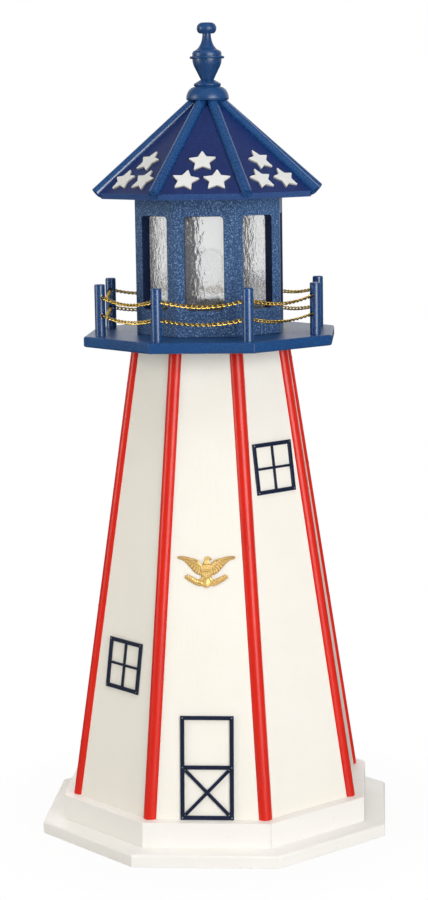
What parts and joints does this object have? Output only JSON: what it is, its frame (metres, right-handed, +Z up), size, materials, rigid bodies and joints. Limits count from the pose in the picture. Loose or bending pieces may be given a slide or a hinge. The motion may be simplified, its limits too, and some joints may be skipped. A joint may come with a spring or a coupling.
{
  "type": "lighthouse garden ornament",
  "caption": "Eight-sided wooden garden lighthouse with a tapered tower, a railed gallery with chains, a glazed lantern room, a lift-off starred roof and a turned finial.",
  "frame": {"origin": "middle of the base board's underside", "axes": "+Z up, -Y out of the face with the door, +X to that face's right"},
  "size_m": [0.521, 0.521, 1.2191],
  "materials": {
    "base_paint": "satin white paint on planed board",
    "wall_paint": "satin ivory paint on planed board",
    "batten_paint": "semi-gloss red paint",
    "bare_wood": "bare planed softwood",
    "deck_paint": "semi-gloss blue paint",
    "lantern_paint": "semi-gloss slate blue paint",
    "roof_paint": "semi-gloss deep blue paint",
    "navy_trim": "matt navy",
    "star_ivory": "satin ivory",
    "gold_cast": "gold finish, satin",
    "gold_chain": "gold finish, bright",
    "pane": "hammered translucent acrylic",
    "holder": "gloss black",
    "cap_metal": "bright",
    "bulb": "clear",
    "stud_steel": "zinc plated"
  },
  "bodies": {
    "tower": {"base_board": "base_paint", "skirt_boards": "base_paint", "foot_frame": "bare_wood", "tower_wall_1": "wall_paint", "tower_wall_2": "wall_paint", "tower_wall_3": "wall_paint", "tower_wall_4": "wall_paint", "tower_wall_5": "wall_paint", "tower_wall_6": "wall_paint", "tower_wall_7": "wall_paint", "tower_wall_8": "wall_paint", "corner_battens": "batten_paint", "head_plate": "bare_wood", "door_trim": "navy_trim", "window_trims": "navy_trim", "eagle_ornament": "gold_cast", "gallery_deck": "deck_paint", "rail_posts": "deck_paint", "lantern_wall_1": "lantern_paint", "lantern_wall_2": "lantern_paint", "lantern_wall_3": "lantern_paint", "lantern_wall_4": "lantern_paint", "lantern_wall_5": "lantern_paint", "lantern_wall_6": "lantern_paint", "lantern_wall_7": "lantern_paint", "lantern_wall_8": "lantern_paint", "window_panes": "pane", "lamp_holder": "holder", "bulb_cap": "cap_metal", "bulb_glass": "bulb"},
    "roof": {"roof_panel_1": "roof_paint", "roof_panel_2": "roof_paint", "roof_panel_3": "roof_paint", "roof_panel_4": "roof_paint", "roof_panel_5": "roof_paint", "roof_panel_6": "roof_paint", "roof_panel_7": "roof_paint", "roof_panel_8": "roof_paint", "roof_ribs": "deck_paint", "soffit_board": "lantern_paint", "locating_cleats": "bare_wood", "roof_stars": "star_ivory", "finial": "deck_paint", "finial_stud": "stud_steel"},
    "upper_swag_1": {"upper_chain_1": "gold_chain"},
    "upper_swag_2": {"upper_chain_2": "gold_chain"},
    "upper_swag_3": {"upper_chain_3": "gold_chain"},
    "upper_swag_4": {"upper_chain_4": "gold_chain"},
    "upper_swag_5": {"upper_chain_5": "gold_chain"},
    "upper_swag_6": {"upper_chain_6": "gold_chain"},
    "upper_swag_7": {"upper_chain_7": "gold_chain"},
    "upper_swag_8": {"upper_chain_8": "gold_chain"},
    "lower_swag_1": {"lower_chain_1": "gold_chain"},
    "lower_swag_2": {"lower_chain_2": "gold_chain"},
    "lower_swag_3": {"lower_chain_3": "gold_chain"},
    "lower_swag_4": {"lower_chain_4": "gold_chain"},
    "lower_swag_5": {"lower_chain_5": "gold_chain"},
    "lower_swag_6": {"lower_chain_6": "gold_chain"},
    "lower_swag_7": {"lower_chain_7": "gold_chain"},
    "lower_swag_8": {"lower_chain_8": "gold_chain"}
  },
  "joints": [
    {"name": "roof_lift", "type": "slide", "parent": "tower", "child": "roof", "axis": [0, 0, 1], "range_m": [0, 0.15]},
    {"name": "upper_swing_1", "type": "hinge", "parent": "tower", "child": "upper_swag_1", "pos_m": [0, -0.16052, 0.81655], "axis": [1, 0, 0], "range_deg": [-60, 60]},
    {"name": "upper_swing_2", "type": "hinge", "parent": "tower", "child": "upper_swag_2", "pos_m": [0.1135, -0.1135, 0.81655], "axis": [0.7071, 0.7071, 0], "range_deg": [-60, 60]},
    {"name": "upper_swing_3", "type": "hinge", "parent": "tower", "child": "upper_swag_3", "pos_m": [0.16052, 0, 0.81655], "axis": [0, 1, 0], "range_deg": [-60, 60]},
    {"name": "upper_swing_4", "type": "hinge", "parent": "tower", "child": "upper_swag_4", "pos_m": [0.1135, 0.1135, 0.81655], "axis": [-0.7071, 0.7071, 0], "range_deg": [-60, 60]},
    {"name": "upper_swing_5", "type": "hinge", "parent": "tower", "child": "upper_swag_5", "pos_m": [0, 0.16052, 0.81655], "axis": [-1, 0, 0], "range_deg": [-60, 60]},
    {"name": "upper_swing_6", "type": "hinge", "parent": "tower", "child": "upper_swag_6", "pos_m": [-0.1135, 0.1135, 0.81655], "axis": [-0.7071, -0.7071, 0], "range_deg": [-60, 60]},
    {"name": "upper_swing_7", "type": "hinge", "parent": "tower", "child": "upper_swag_7", "pos_m": [-0.16052, 0, 0.81655], "axis": [0, -1, 0], "range_deg": [-60, 60]},
    {"name": "upper_swing_8", "type": "hinge", "parent": "tower", "child": "upper_swag_8", "pos_m": [-0.1135, -0.1135, 0.81655], "axis": [0.7071, -0.7071, 0], "range_deg": [-60, 60]},
    {"name": "lower_swing_1", "type": "hinge", "parent": "tower", "child": "lower_swag_1", "pos_m": [0, -0.16052, 0.78955], "axis": [1, 0, 0], "range_deg": [-60, 60]},
    {"name": "lower_swing_2", "type": "hinge", "parent": "tower", "child": "lower_swag_2", "pos_m": [0.1135, -0.1135, 0.78955], "axis": [0.7071, 0.7071, 0], "range_deg": [-60, 60]},
    {"name": "lower_swing_3", "type": "hinge", "parent": "tower", "child": "lower_swag_3", "pos_m": [0.16052, 0, 0.78955], "axis": [0, 1, 0], "range_deg": [-60, 60]},
    {"name": "lower_swing_4", "type": "hinge", "parent": "tower", "child": "lower_swag_4", "pos_m": [0.1135, 0.1135, 0.78955], "axis": [-0.7071, 0.7071, 0], "range_deg": [-60, 60]},
    {"name": "lower_swing_5", "type": "hinge", "parent": "tower", "child": "lower_swag_5", "pos_m": [0, 0.16052, 0.78955], "axis": [-1, 0, 0], "range_deg": [-60, 60]},
    {"name": "lower_swing_6", "type": "hinge", "parent": "tower", "child": "lower_swag_6", "pos_m": [-0.1135, 0.1135, 0.78955], "axis": [-0.7071, -0.7071, 0], "range_deg": [-60, 60]},
    {"name": "lower_swing_7", "type": "hinge", "parent": "tower", "child": "lower_swag_7", "pos_m": [-0.16052, 0, 0.78955], "axis": [0, -1, 0], "range_deg": [-60, 60]},
    {"name": "lower_swing_8", "type": "hinge", "parent": "tower", "child": "lower_swag_8", "pos_m": [-0.1135, -0.1135, 0.78955], "axis": [0.7071, -0.7071, 0], "range_deg": [-60, 60]}
  ]
}
